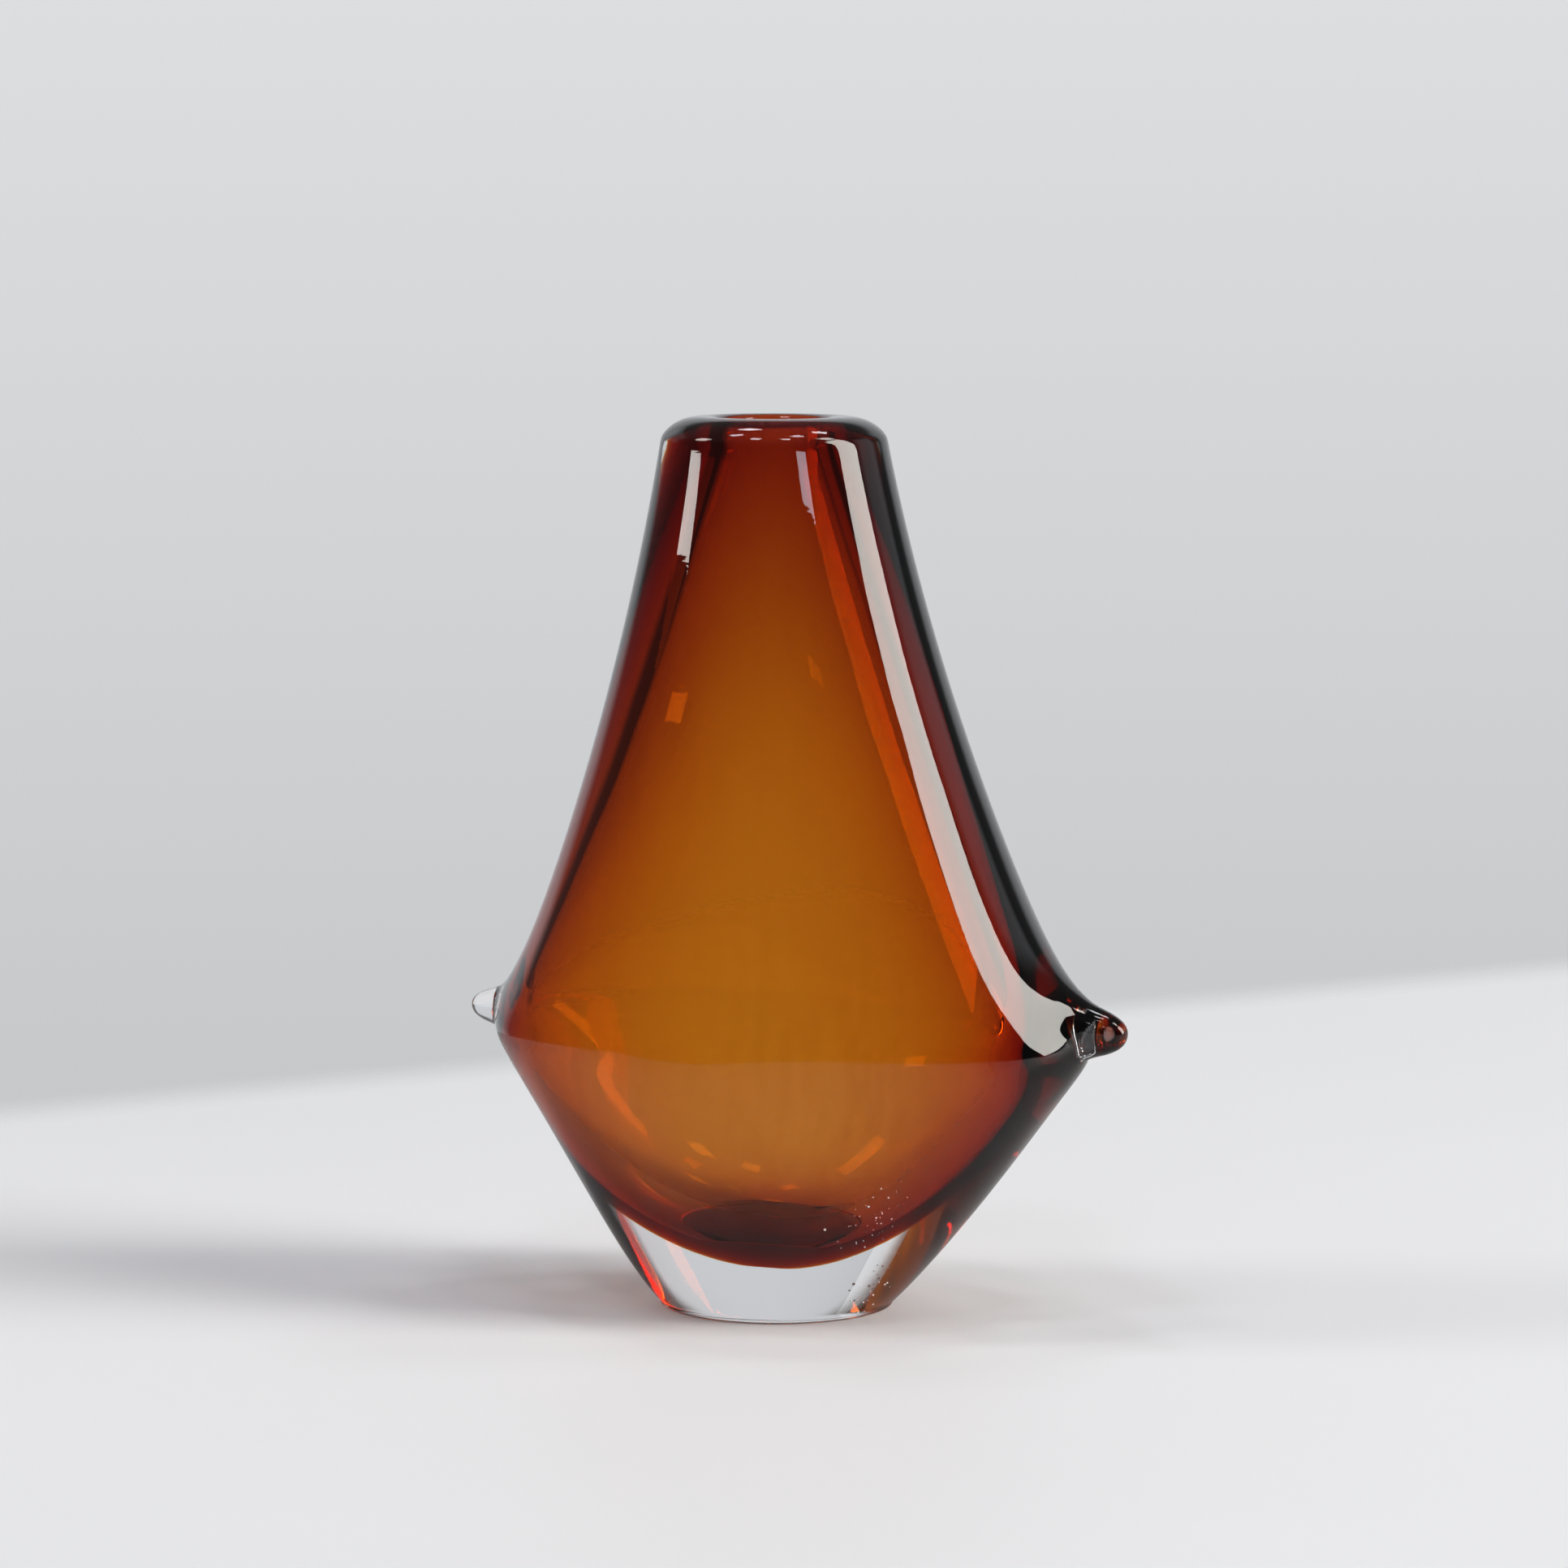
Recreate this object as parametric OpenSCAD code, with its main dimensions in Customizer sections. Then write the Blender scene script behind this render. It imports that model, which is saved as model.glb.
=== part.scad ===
// Cased glass bud vase with two drawn points.
// Frame: origin at the centre of the ground foot, +Z up, X through the two points, Y front to back.
// An amber lining is cased in thick clear glass. The body is a flattened cone above a keel and an
// inverted cone below it, round at the lip and at the foot. All sizes are millimetres.

/* [Body] */
// Height from the ground foot to the top of the lip
height = 200; // [170:1:240]
// Height of the keel, where the upper and lower flanks meet
keel_h = 61; // [50:1:80]
// Width of the body at the keel, flank to flank, without the points
body_w = 140; // [130:1:146]
// Depth of the body at the keel, front to back
body_d = 92; // [70:1:110]
// Diameter of the ground foot
foot_d = 50.6; // [44:0.2:60]
// Outer diameter that the flanks reach at the top
rim_d = 48.8; // [46:0.1:56]
// How hollow the upper flanks are: 0 is a straight cone
flank_hollow = 0.44; // [0:0.02:0.6]
// How full the lower flanks are: 1 is a straight cone
flank_fullness = 0.85; // [0.7:0.01:1]
// Softness of the keel at the two ends
keel_soft_ends = 1.5; // [1:0.5:4]
// Softness of the keel at the front and the back
keel_soft_sides = 2; // [1:0.5:6]
// Sideways lean of the lip
lean = -1; // [-3:0.2:3]
// Sideways shift of the clear body at the keel, towards the long point
keel_shift = 3.2; // [0:0.2:4]

/* [Lip] */
// Diameter that the hollow would narrow to at the full height; the rounded mouth is a little wider
mouth_d = 17; // [15:0.2:19]
// Height of the lip's outer round
lip_h = 5.5; // [4:0.5:8]
// Depth of the round from the crest of the lip into the mouth
lip_fall = 6; // [5:0.5:10]
// Roundness of the lip: 1 is an elliptical section, a smaller number is flatter on top
lip_round = 0.7; // [0.6:0.05:1]
// Place of the lip's crest: 1 is midway between the outer edge and the mouth, less is nearer the mouth
lip_crest = 0.6; // [0.5:0.1:1.5]

/* [Amber lining] */
// Thickness of the amber glass at the front and back of the belly
lining_wall = 1.7; // [1.5:0.1:2.4]
// Thickness of the amber glass at the two ends of the belly
lining_wall_ends = 3.2; // [1.8:0.1:3.6]
// Thickness of the amber glass at the lip
lip_wall = 5.3; // [4.5:0.1:5.8]
// Thickness of the amber glass at the floor
lining_floor = 5.5; // [4:0.5:7]
// Width of the lining at the keel
lining_w = 121; // [110:1:122]
// Depth of the lining at the keel
lining_d = 66; // [60:1:72]
// Height of the underside of the lining, which is the thickness of the clear base
base_h = 14.5; // [12:0.5:18]
// Diameter of the flat floor of the lining
lining_floor_d = 6; // [4:1:10]
// How full the lining is between its floor and the keel: 1 is a straight cone
lining_fullness = 0.62; // [0.55:0.01:0.7]
// How hollow the lining's flanks are at the two ends
lining_hollow_ends = 0.2; // [0:0.05:0.4]
// How hollow the lining's flanks are at the front and back: below 0 they bulge
lining_hollow_sides = -0.4; // [-0.5:0.05:0.2]
// Sideways shift of the lining at the keel
lining_shift = -1.5; // [-2:0.5:1]

/* [Points] */
// Length of the long point
long_point_l = 8.8; // [5:0.2:12]
// Diameter of the root of the long point
long_point_d = 11.6; // [9:0.2:13]
// Distance from the vase's axis to the root of the long point
long_point_x = 74.2; // [73.8:0.2:77]
// Height of the root of the long point
long_point_z = 66.2; // [62:0.2:68]
// Droop of the long point, degrees
long_point_droop = 5; // [0:1:12]
// Length of the short point
short_point_l = 7.4; // [4:0.2:12]
// Diameter of the root of the short point
short_point_d = 9; // [8:0.2:12]
// Distance from the vase's axis to the root of the short point
short_point_x = 67.8; // [67:0.2:70]
// Height of the root of the short point
short_point_z = 64; // [60:0.2:68]
// Distance over which the body flares out to a point's root
flare_l = 4.6; // [3:0.2:6]

/* [Hidden] */

// Sides of every ring, and how strongly they crowd towards the points
sides = 48;
end_crowding = 22;
// Rings below and above the keel on the outer surface
rings_below = 14;
rings_above = 20;
// Rings below and above the keel on the lining's surfaces
lining_rings_below = 10;
lining_rings_above = 12;
// Rings from the outer wall to the top of the lip, and from there to the seam and on to the mouth
lip_rings = 4;
lining_lip_rings = 3;
// Rings crowd towards the keel by this power
crowding = 1.6;
// The flare dies out more slowly under a point than over it
flare_under = 0.9;
// The flare runs this share past the seat, so that the seat is cut in full glass
flare_over = 0.1;
// Softness of the lining's belly
lining_soft = 4;
// Height over which the amber thins below the lip, and height over which the shift of the lining fades
wall_fade = 30;
shift_fade = 45;
// Extra thickness of the amber at the edge of its floor, and the height over which it fades
fillet = 4;
fillet_fade = 4;
// Angle over the lip at which the two glasses meet: 0 at the outer wall, 180 at the mouth
seam_over = 35;
// Depth below the foot to which the outer surface is drawn before the foot is ground flat
grind = 1.5;
// Segments of a point's curve, and round its axis
point_steps = 12;
point_sides = 48;

foot_r = foot_d / 2;
rim_r = rim_d / 2;
mouth_r = mouth_d / 2;
lip_z = height - lip_h;
mouth_z = height - lip_fall;
lining_top_r = mouth_r + lip_wall;
hollow_z0 = base_h + lining_floor;
long_root_r = long_point_d / 2;
short_root_r = short_point_d / 2;

function mix(a, b, t) = a + (b - a) * t;

// The smaller of two lengths, rounded over where they are equal
function soft_min(u, v, soft) = -soft * ln(exp(-u / soft) + exp(-v / soft));

// Half-width of a flank above the keel, from `wide` at the keel to `top` at the full height
function upper_flank(z, wide, top, hollow) =
    let (t = (height - z) / (height - keel_h))
    top + (wide - top) * ((1 - hollow) * t + hollow * t * t);

// Half-width of a flank below the keel, from `low` at height z0 to `wide` at the keel
function lower_flank(z, wide, low, z0, fullness) =
    low + (wide - low) * pow(max(z - z0, 0) / (keel_h - z0), fullness);

// Half-width, half-depth and sideways offset of the outer surface at a height
function body_half_w(z) =
    soft_min(upper_flank(z, body_w / 2, rim_r, flank_hollow),
        lower_flank(z, body_w / 2, foot_r, 0, flank_fullness), keel_soft_ends);
function body_half_d(z) =
    soft_min(upper_flank(z, body_d / 2, rim_r, flank_hollow),
        lower_flank(z, body_d / 2, foot_r, 0, flank_fullness), keel_soft_sides);
function bulge(z) = pow(max(z, 0) / keel_h * exp(1 - max(z, 0) / keel_h), 2);
function body_x(z) = lean * pow(z / height, 2) + keel_shift * bulge(z);

// Thickness of the amber at a height, where it is `belly` thick at the keel
function wall_at(z, belly) =
    belly + (lip_wall - belly) * exp((z - height) / wall_fade)
    + fillet * exp(-max(z - hollow_z0, 0) / fillet_fade);

// The same three for the lining's outer surface (share 0) or inner surface (share 1)
function lining_half(z, wide, hollow, belly, share) =
    soft_min(upper_flank(z, wide, lining_top_r, hollow),
        lower_flank(z, wide, lining_floor_d / 2, base_h, lining_fullness), lining_soft)
    - share * wall_at(z, belly);
function lining_half_w(z, share) =
    lining_half(z, lining_w / 2, lining_hollow_ends, lining_wall_ends, share);
function lining_half_d(z, share) =
    lining_half(z, lining_d / 2, lining_hollow_sides, lining_wall, share);
function lining_x(z) = lean * pow(z / height, 2) + lining_shift * exp(-pow((z - keel_h) / shift_fade, 2));

// Angle of side i of a ring, crowded towards the two points
function side_angle(i) = let (u = 360 * i / sides) u - end_crowding * sin(2 * u);

// Heights of the rings: `below` steps from `low` up to the keel, then `above` steps up to `top`
function ring_heights(low, top, below, above) = concat(
    [for (i = [0:below]) mix(keel_h, low, pow(1 - i / below, crowding))],
    [for (i = [1:above]) mix(keel_h, top, pow(i / above, crowding))]);

// How fully the body is drawn out to a point's seat, at y and dz from the point's axis: 1 at the root
function flare(y, dz, root_r) =
    let (r = norm([y, dz < 0 ? dz * flare_under : dz]))
    min(1 + flare_over, exp((root_r - r) / flare_l));

// One point of the outer surface
function body_point(z, angle) =
    let (x = body_half_w(z) * cos(angle) + body_x(z),
        y = body_half_d(z) * sin(angle),
        rise = z - long_point_z,
        drawn = cos(angle) > 0
            ? mix(x, long_point_x + rise * tan(long_point_droop), flare(y, rise, long_root_r))
            : mix(x, -short_point_x, flare(y, z - short_point_z, short_root_r)))
    [drawn, y, z];

function body_ring(z) = [for (i = [0:sides - 1]) body_point(z, side_angle(i))];

// A plain oval ring
function oval_ring(half_w, half_d, x, z) =
    [for (i = [0:sides - 1]) [half_w * cos(side_angle(i)) + x, half_d * sin(side_angle(i)), z]];

// A ring of the lip at an angle over it: 0 at the outer wall, 180 at the mouth
function lip_ring(over) =
    let (across = pow((1 - sign(cos(over)) * pow(abs(cos(over)), lip_round)) / 2, lip_crest))
    oval_ring(mix(body_half_w(lip_z), lining_half_w(mouth_z, 1), across),
        mix(body_half_d(lip_z), lining_half_d(mouth_z, 1), across),
        mix(body_x(lip_z), lining_x(mouth_z), across),
        mix(over < 90 ? lip_z : mouth_z, height, pow(sin(over), lip_round)));

// Rings of the lining's outer surface (share 0) or inner surface (share 1), from the floor up
function lining_rings(share) =
    let (low = mix(base_h, hollow_z0, share), top = mix(lip_z, mouth_z, share))
    [for (z = ring_heights(low, top, lining_rings_below, lining_rings_above))
        oval_ring(lining_half_w(z, share), lining_half_d(z, share), lining_x(z), z)];

// The surface where the two glasses meet, from the lining's underside up to the lip
function seam_rings() = concat(lining_rings(0), [lip_ring(seam_over)]);

function reversed(list) = [for (i = [len(list) - 1:-1:0]) list[i]];

// A closed form: rings from the outside of its floor up, over its lip and down to the inside of its
// floor, each end closed onto one point
module ring_form(rings, first_apex, last_apex) {
    count = len(rings);
    points = concat([for (r = rings) each r], [first_apex, last_apex]);
    first = count * sides;
    walls = [for (k = [0:count - 2]) for (i = [0:sides - 1])
        let (a = k * sides + i, b = k * sides + (i + 1) % sides)
        each [[a, a + sides, b + sides], [a, b + sides, b]]];
    floors = [for (i = [0:sides - 1]) let (j = (i + 1) % sides)
        each [[i, j, first], [first - sides + j, first - sides + i, first + 1]]];
    polyhedron(points, concat(walls, floors));
}

// The seat on which a point sits: its axis becomes +Z
module at_long_seat() translate([long_point_x, 0, long_point_z])
    rotate([0, 90 + long_point_droop, 0]) children();
module at_short_seat() translate([-short_point_x, 0, short_point_z]) rotate([0, -90, 0]) children();

// A drop of glass drawn out to a blunt point: a paraboloid on a round root
module drawn_point(root_r, length) {
    rotate_extrude($fn = point_sides)
        polygon(concat([[0, 0]],
            [for (i = [0:point_steps]) let (t = i / point_steps)
                [root_r * (1 - t), length * (1 - pow(1 - t, 2))]]));
}

module clear_casing() {
    outer = [for (z = ring_heights(-grind, lip_z, rings_below, rings_above)) body_ring(z)];
    lip = [for (k = [1:lip_rings - 1]) lip_ring(seam_over * k / lip_rings)];
    color([0.86, 0.89, 0.92, 0.45])
        difference() {
            ring_form(concat(outer, lip, reversed(seam_rings())),
                [0, 0, -grind], [lining_x(base_h), 0, base_h]);
            translate([-height, -height, -height])
                cube([2 * height, 2 * height, height]);
            at_long_seat() cylinder(h = height, r = 3 * long_root_r);
            at_short_seat() cylinder(h = height, r = 3 * short_root_r);
        }
}

module amber_lining() {
    lip = concat([for (k = [1:lining_lip_rings]) lip_ring(mix(seam_over, 90, k / lining_lip_rings))],
        [for (k = [1:lining_lip_rings]) lip_ring(mix(90, 180, k / (lining_lip_rings + 1)))]);
    color([0.62, 0.26, 0.03])
        ring_form(concat(seam_rings(), lip, reversed(lining_rings(1))),
            [lining_x(base_h), 0, base_h], [lining_x(hollow_z0), 0, hollow_z0]);
}

module long_point() {
    color([0.8, 0.84, 0.88]) at_long_seat() drawn_point(long_root_r, long_point_l);
}

module short_point() {
    color([0.8, 0.84, 0.88]) at_short_seat() drawn_point(short_root_r, short_point_l);
}

amber_lining();
clear_casing();
long_point();
short_point();
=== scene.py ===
import math
import random

import bmesh
import bpy
import numpy as np
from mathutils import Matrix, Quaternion, Vector


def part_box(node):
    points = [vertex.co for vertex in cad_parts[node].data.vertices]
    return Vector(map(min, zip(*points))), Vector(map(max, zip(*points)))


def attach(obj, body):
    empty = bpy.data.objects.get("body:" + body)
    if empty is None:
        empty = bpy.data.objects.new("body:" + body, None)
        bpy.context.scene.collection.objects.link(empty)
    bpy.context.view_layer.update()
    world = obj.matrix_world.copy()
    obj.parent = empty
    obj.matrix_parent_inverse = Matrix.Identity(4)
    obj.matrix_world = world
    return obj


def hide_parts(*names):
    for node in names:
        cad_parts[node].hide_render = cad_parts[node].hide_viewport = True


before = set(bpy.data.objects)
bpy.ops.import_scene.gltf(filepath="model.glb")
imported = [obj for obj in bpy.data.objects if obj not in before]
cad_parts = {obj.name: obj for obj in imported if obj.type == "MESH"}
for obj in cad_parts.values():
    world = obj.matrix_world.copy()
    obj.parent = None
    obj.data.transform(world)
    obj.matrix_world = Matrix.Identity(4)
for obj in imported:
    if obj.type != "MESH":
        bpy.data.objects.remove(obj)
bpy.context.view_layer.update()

MM = 0.001

# ---------------------------------------------------------------- sizes, in millimetres
# The outline repeats the rules of the CAD part, so that the fine meshes lie where its solids lie.
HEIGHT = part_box("amber_lining")[1][2] / MM
KEEL_H = 61
# Width and depth between the two flanks where they would meet at the keel, if it weren't softened
BODY_W = 140
BODY_D = 92
FOOT_D = 50.6
RIM_D = 48.8
# 0 is a straight flank above the keel, more is a more hollow one
FLANK_HOLLOW = 0.44
# 1 is a straight flank below the keel, less is a fuller one
FLANK_FULLNESS = 0.85
# How far the keel is rounded over at the two ends, and at the front and back
KEEL_SOFT_ENDS = 1.5
KEEL_SOFT_SIDES = 2.5
# How far the lip leans along X, and how far the keel is pushed along it
LEAN = -1.0
KEEL_SHIFT = 3.2
# The keel sags near one place at the front: how far, at what angle round the body, and how wide
KEEL_SAG = 4.5
SAG_AT = math.radians(-95)
SAG_WIDE = math.radians(22)

# Diameter that the hollow would narrow to at the full height
MOUTH_D = 17
# Height of the lip's outer round, and depth of the round from its crest into the mouth
LIP_H = 5.5
LIP_FALL = 6
# 1 is a lip of elliptical section; a smaller number makes it flatter on top
LIP_ROUND = 0.7
# 1 puts the crest of the lip midway between its outer edge and the mouth, less puts it nearer the mouth
LIP_CREST = 0.6

# Thickness of the amber at the front and back of the belly, at its two ends, and at the lip
LINING_WALL = 1.7
LINING_WALL_ENDS = 3.2
LIP_WALL = 5.3
WALL_FADE = 30
# The amber from outside: width and depth at the keel before softening, and how hollow its flanks are
LINING_W = 121
LINING_D = 66
LINING_HOLLOW_ENDS = 0.2
LINING_HOLLOW_SIDES = -0.4
# The solid clear base, and the floor of amber over it
BASE_H = 14.5
LINING_FLOOR = 5.5
LINING_FLOOR_D = 6
# The amber is this much thicker at the edge of its floor, fading out up the wall
FLOOR_FILLET = 4
FILLET_FADE = 4
LINING_FULLNESS = 0.62
# The amber is pushed this far along X at the keel, fading out over this height
LINING_SHIFT = -1.5
SHIFT_FADE = 45
LINING_SOFT = 4
# Angle over the lip at which the two glasses meet: 0 at the outer wall, 180 at the mouth
SEAM_OVER = math.radians(35)

LONG_POINT = dict(length=8.8, root_d=11.6, x=74.2, z=66.2, droop=5, side=1)
SHORT_POINT = dict(length=7.4, root_d=9.0, x=67.8, z=64.0, droop=0, side=-1)
# Distance over which the body flares out to a point. A share under 1 lets the flare reach further below it
FLARE_L = 4.6
FLARE_UNDER = 0.9

LIP_Z = HEIGHT - LIP_H
MOUTH_Z = HEIGHT - LIP_FALL
# The amber glass lies this far inside the clear glass, so that no two surfaces coincide
SKIN = 0.05
# Radius of the worn edge round the ground foot, and the hollow ground into the middle of the foot
FOOT_EDGE = 0.9
FOOT_HOLLOW = 0.25

# ---------------------------------------------------------------- mesh fineness
SIDES = 288
RINGS_BELOW = 90
RINGS_ABOVE = 150
LINING_SIDES = 288
LINING_BELOW = 100
LINING_ABOVE = 110
LIP_RINGS = 40
LINING_LIP_RINGS = 24
LINING_TURN_RINGS = 9
# Rings that close a floor, as shares of its width from the wall in to the middle
FLOOR_SHARES = np.linspace(0.9, 0.1, 9)
FOOT_SHARES = np.linspace(0.94, 0.06, 16)
FOOT_EDGE_RINGS = 8
# How far the sides crowd towards the two ends, and the rings towards the keel and the floor
END_CROWDING = math.radians(22)
KEEL_CROWDING = 1.5
LINING_CROWDING = 1.2
TURN_CROWDING = 1.6


# ---------------------------------------------------------------- the outline
def mix(a, b, t):
    return a + (b - a) * t


def soft_min(u, v, soft):
    """The smaller of two lengths, rounded over where they are equal."""
    low = np.minimum(u, v)
    return low - soft * np.log1p(np.exp(-np.abs(u - v) / soft))


def upper_flank(z, wide, top, hollow, keel=KEEL_H):
    t = (HEIGHT - z) / (HEIGHT - keel)
    return top + (wide - top) * ((1 - hollow) * t + hollow * t * t)


def lower_flank(z, wide, low, z0, fullness, keel=KEEL_H):
    return low + (wide - low) * (np.maximum(z - z0, 0) / (keel - z0)) ** fullness


def body_half(z, wide, soft, keel):
    """Half the width or depth of the outer surface at a height."""
    return soft_min(upper_flank(z, wide, RIM_D / 2, FLANK_HOLLOW, keel),
                    lower_flank(z, wide, FOOT_D / 2, 0, FLANK_FULLNESS, keel), soft)


def body_half_w(z, keel=KEEL_H):
    return body_half(z, BODY_W / 2, KEEL_SOFT_ENDS, keel)


def body_half_d(z, keel=KEEL_H):
    return body_half(z, BODY_D / 2, KEEL_SOFT_SIDES, keel)


def keel_at(angles):
    """Height of the keel round the body."""
    away = (angles - SAG_AT + math.pi) % (2 * math.pi) - math.pi
    return KEEL_H - KEEL_SAG * np.exp(-(away / SAG_WIDE) ** 2)


def bulge(z):
    """1 at the keel, fading to 0 at the foot and to little at the lip."""
    u = np.maximum(z, 0) / KEEL_H
    return (u * np.exp(1 - u)) ** 2


def body_x(z):
    """x of the middle of the outer surface: the vase leans, and its keel is off centre."""
    return LEAN * (z / HEIGHT) ** 2 + KEEL_SHIFT * bulge(z)


def lining_x(z):
    """x of the middle of the amber."""
    return LEAN * (z / HEIGHT) ** 2 + LINING_SHIFT * np.exp(-((z - KEEL_H) / SHIFT_FADE) ** 2)


def wall_at(z, belly):
    """Thickness of the amber wall at a height: it thickens up the neck and at the edge of the floor."""
    fillet = FLOOR_FILLET * np.exp(-np.maximum(z - lining_z0(1), 0) / FILLET_FADE)
    return belly + (LIP_WALL - belly) * np.exp((z - HEIGHT) / WALL_FADE) + fillet


def lining_z0(share):
    """Height of the floor of a surface at a share of the way through the amber, from outside in."""
    return BASE_H + LINING_FLOOR * share


def lining_half(z, wide, hollow, belly, share):
    """Half the width or depth of the amber at a height, at a share of the way through it."""
    return soft_min(upper_flank(z, wide, MOUTH_D / 2 + LIP_WALL, hollow),
                    lower_flank(z, wide, LINING_FLOOR_D / 2, BASE_H, LINING_FULLNESS),
                    LINING_SOFT) - share * wall_at(z, belly)


def lining_half_w(z, share):
    return lining_half(z, LINING_W / 2, LINING_HOLLOW_ENDS, LINING_WALL_ENDS, share)


def lining_half_d(z, share):
    return lining_half(z, LINING_D / 2, LINING_HOLLOW_SIDES, LINING_WALL, share)


def flare(y, dz, root_r):
    """How fully the body is drawn out to a point's seat: 1 at the root."""
    r = np.hypot(y, np.where(dz < 0, dz * FLARE_UNDER, dz))
    return np.minimum(1, np.exp((root_r - r) / FLARE_L))


def drawn_out(x, y, z, point):
    """x of the outer surface, drawn out towards one point."""
    rise = z - point["z"]
    seat = point["side"] * (point["x"] + rise * math.tan(math.radians(point["droop"])))
    return mix(x, seat, flare(y, rise, point["root_d"] / 2))


def body_ring(z, angles):
    """A level ring of the outer surface, drawn out at both ends."""
    keel = keel_at(angles)
    x = body_half_w(z, keel) * np.cos(angles) + body_x(z)
    y = body_half_d(z, keel) * np.sin(angles)
    x = np.where(np.cos(angles) > 0, drawn_out(x, y, z, LONG_POINT), drawn_out(x, y, z, SHORT_POINT))
    return np.stack([x, y, np.full_like(x, z)], axis=-1)


def end_surface(y, z, point):
    """The outer surface near one end, as x over y and z."""
    across = np.sqrt(np.maximum(1 - (y / body_half_d(z)) ** 2, 0))
    x = point["side"] * body_half_w(z) * across + body_x(z)
    return np.stack([drawn_out(x, y, z, point), y, z], axis=-1)


def side_angles(n):
    """Angles of the sides round the body, closer together at its two ends."""
    u = 2 * math.pi * np.arange(n) / n
    return u - END_CROWDING * np.sin(2 * u)


def ring_heights(low, top, below, above):
    """Heights of the rings of the outer surface, closer together near the keel."""
    down = np.arange(below + 1) / below
    up = np.arange(1, above + 1) / above
    return np.concatenate([mix(KEEL_H, low, (1 - down) ** KEEL_CROWDING),
                           mix(KEEL_H, top, up ** KEEL_CROWDING)])


def oval_ring(half_w, half_d, x, z, angles):
    return np.stack([half_w * np.cos(angles) + x, half_d * np.sin(angles), np.full_like(angles, z)], axis=-1)


def lip_ring(over, angles, inset=0.0):
    """A ring of the lip at an angle over it: 0 at the outer wall, pi at the mouth."""
    turn = math.cos(over)
    across = ((1 - math.copysign(abs(turn) ** LIP_ROUND, turn)) / 2) ** LIP_CREST
    half_w = mix(body_half_w(LIP_Z) - inset, lining_half_w(MOUTH_Z, 1) + inset, across)
    half_d = mix(body_half_d(LIP_Z) - inset, lining_half_d(MOUTH_Z, 1) + inset, across)
    z = mix(LIP_Z if turn > 0 else MOUTH_Z, HEIGHT - inset, abs(math.sin(over)) ** LIP_ROUND)
    return oval_ring(half_w, half_d, mix(body_x(LIP_Z), lining_x(MOUTH_Z), across), z, angles)


def lining_ring(z, share, angles):
    return oval_ring(lining_half_w(z, share), lining_half_d(z, share), lining_x(z), z, angles)


# ---------------------------------------------------------------- mesh building
class Builder:
    """Collects points in millimetres and faces, and makes one object of them in metres."""

    def __init__(self):
        self.points = []
        self.count = 0
        self.faces = []
        self.slots = []

    def add(self, points):
        points = np.asarray(points, dtype=float).reshape(-1, 3)
        first = self.count
        self.points.append(points)
        self.count += len(points)
        return np.arange(first, self.count)

    def face(self, corners, slot=0):
        self.faces.append([int(c) for c in corners])
        self.slots.append(slot)

    def bridge(self, low, high, slot=0, skip=None):
        """Quads between two rings of points, facing out when the rings turn left and high is above."""
        n = len(low)
        for i in range(n):
            if skip is None or not skip(i):
                j = (i + 1) % n
                self.face([low[i], low[j], high[j], high[i]], slot)

    def close(self, ring, apex, slot=0):
        n = len(ring)
        for i in range(n):
            self.face([ring[i], ring[(i + 1) % n], apex], slot)

    def make(self, name, materials):
        mesh = bpy.data.meshes.new(name)
        mesh.from_pydata((np.concatenate(self.points) * MM).tolist(), [], self.faces)
        for material in materials:
            mesh.materials.append(material)
        mesh.polygons.foreach_set("material_index", self.slots)
        mesh.polygons.foreach_set("use_smooth", [True] * len(self.faces))
        mesh.update()
        sharpen_seats(mesh)
        ob = bpy.data.objects.new(name, mesh)
        bpy.context.scene.collection.objects.link(ob)
        return ob


def sharpen_seats(mesh):
    """Keeps the shading of a seat apart from that of the surface round it."""
    cut = bmesh.new()
    cut.from_mesh(mesh)
    for edge in cut.edges:
        if len({face.material_index for face in edge.link_faces}) > 1:
            edge.smooth = False
    cut.to_mesh(mesh)
    cut.free()


# The fine rings round a point reach this far past its root
PATCH_MARGIN = 5
PATCH_RINGS = 16
PATCH_CROWDING = 1.4
POINT_RINGS = 40
# Above 2 a point's end is blunter than a paraboloid
POINT_BLUNT = 2.6
# The root is blended over this many rings each way, in this many passes
ROOT_BLEND = 9
ROOT_PASSES = 30
SEAT_SLOT = 1


def patch_block(heights, point):
    """The block of grid cells round a point's root: first and last ring, and sides each way."""
    reach = point["root_d"] / 2 + PATCH_MARGIN
    rows = np.nonzero(np.abs(heights - point["z"]) < reach)[0]
    angles = side_angles(SIDES)
    half = int(np.sum(np.abs(body_half_d(point["z"]) * np.sin(angles[:SIDES // 4])) < reach))
    return int(rows[0]), int(rows[-1]), half


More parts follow.
